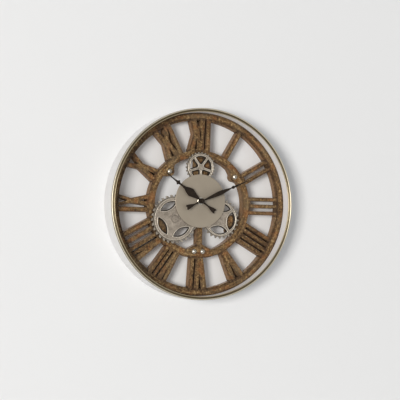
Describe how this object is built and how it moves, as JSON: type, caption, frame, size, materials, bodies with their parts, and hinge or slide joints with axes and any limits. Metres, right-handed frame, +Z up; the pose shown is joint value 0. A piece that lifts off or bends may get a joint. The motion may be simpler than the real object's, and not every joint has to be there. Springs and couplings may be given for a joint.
{
  "type": "wall clock",
  "caption": "Round wall clock with a formed metal rim, openwork wooden roman numeral dial, exposed decorative gears, plain centre disc, shaped hands and a battery quartz movement",
  "frame": {"origin": "centre of the rim on the wall plane that the rim's back edge rests on", "axes": "+X right as seen from the front, +Y into the wall, +Z up; the dial faces -Y"},
  "size_m": [0.345, 0.046, 0.345],
  "materials": {
    "nickel": "polished nickel plate, slightly warm",
    "wood": "brown stained, worn, with rust-orange patches",
    "pewter": "dull silver, worn at the edges",
    "disc_beige": "satin warm grey, plain",
    "bright_steel": "polished",
    "screw_steel": "zinc plated",
    "hand_dark": "dark bronze, satin",
    "brass": "plain",
    "case_black": "fine matt texture",
    "gear_plastic": "natural, semi-matt",
    "battery_jacket": "plain jacket without print",
    "contact_sheet": "nickel plated",
    "board_green": "solder mask",
    "copper": "enamelled copper winding",
    "stator_iron": "plain",
    "rubber_black": "soft"
  },
  "bodies": {
    "clock_frame": {"rim": "nickel", "outer_wood_ring": "wood", "inner_wood_ring": "wood", "domed_screws": "bright_steel", "dial_screws": "screw_steel", "gear_screws": "screw_steel", "gear_rivets": "pewter", "centre_disc": "disc_beige", "disc_spacer": "case_black", "stem_washer": "brass", "stem_nut": "brass", "hanger_plate": "screw_steel", "hanger_rivets": "screw_steel", "wall_bumpers": "rubber_black", "movement_front_case": "case_black", "movement_back_cover": "case_black", "battery": "battery_jacket", "battery_contact_positive": "contact_sheet", "battery_contact_negative": "contact_sheet", "circuit_board": "board_green", "quartz_crystal": "bright_steel", "motor_stator": "stator_iron", "motor_coil": "copper", "top_gear_face": "pewter", "top_gear_wheel": "pewter", "left_gear_face": "pewter", "left_gear_wheel": "pewter", "right_gear_face": "pewter", "right_gear_wheel": "pewter", "numeral_01": "wood", "numeral_02": "wood", "numeral_03": "wood", "numeral_04": "wood", "numeral_05": "wood", "numeral_06": "wood", "numeral_07": "wood", "numeral_08": "wood", "numeral_09": "wood", "numeral_10": "wood", "numeral_11": "wood", "numeral_12": "wood"},
    "minute_work": {"minute_wheel": "brass", "minute_hand": "hand_dark", "cap_nut": "hand_dark"},
    "hour_work": {"hour_wheel": "brass", "hour_hand": "hand_dark"},
    "motion_work": {"motion_wheel": "gear_plastic"},
    "third_work": {"third_wheel": "gear_plastic"},
    "second_work": {"second_wheel": "gear_plastic"},
    "fifth_work": {"fifth_wheel": "gear_plastic"},
    "rotor_work": {"motor_rotor": "gear_plastic"},
    "knob": {"setting_knob": "gear_plastic"}
  },
  "joints": [
    {"name": "minute_turn", "type": "hinge", "parent": "clock_frame", "child": "minute_work", "pos_m": [0, -0.0376, 0.0056], "axis": [0, 1, 0], "continuous": true},
    {"name": "hour_turn", "type": "hinge", "parent": "clock_frame", "child": "hour_work", "pos_m": [0, -0.0336, 0.0056], "axis": [0, 1, 0], "continuous": true},
    {"name": "motion_turn", "type": "hinge", "parent": "clock_frame", "child": "motion_work", "pos_m": [0.0084, -0.013, 0.0056], "axis": [0, 1, 0], "continuous": true},
    {"name": "third_turn", "type": "hinge", "parent": "clock_frame", "child": "third_work", "pos_m": [-0.009, -0.0098, 0.0056], "axis": [0, 1, 0], "continuous": true},
    {"name": "second_turn", "type": "hinge", "parent": "clock_frame", "child": "second_work", "pos_m": [0, -0.0082, 0.0056], "axis": [0, 1, 0], "continuous": true},
    {"name": "fifth_turn", "type": "hinge", "parent": "clock_frame", "child": "fifth_work", "pos_m": [0, -0.0066, 0.0147], "axis": [0, 1, 0], "continuous": true},
    {"name": "rotor_turn", "type": "hinge", "parent": "clock_frame", "child": "rotor_work", "pos_m": [0, -0.0046, 0.0213], "axis": [0, 1, 0], "continuous": true},
    {"name": "knob_turn", "type": "hinge", "parent": "clock_frame", "child": "knob", "pos_m": [0.01616, -0.0017, 0.00881], "axis": [0, 1, 0], "continuous": true}
  ],
  "couplings": [
    {"joint": "hour_turn", "follows": "minute_turn", "ratio": 0.083333},
    {"joint": "motion_turn", "follows": "minute_turn", "ratio": -0.33333},
    {"joint": "third_turn", "follows": "minute_turn", "ratio": -7.5},
    {"joint": "second_turn", "follows": "minute_turn", "ratio": 60},
    {"joint": "fifth_turn", "follows": "minute_turn", "ratio": -360},
    {"joint": "rotor_turn", "follows": "minute_turn", "ratio": 1800},
    {"joint": "knob_turn", "follows": "minute_turn", "ratio": 1}
  ]
}
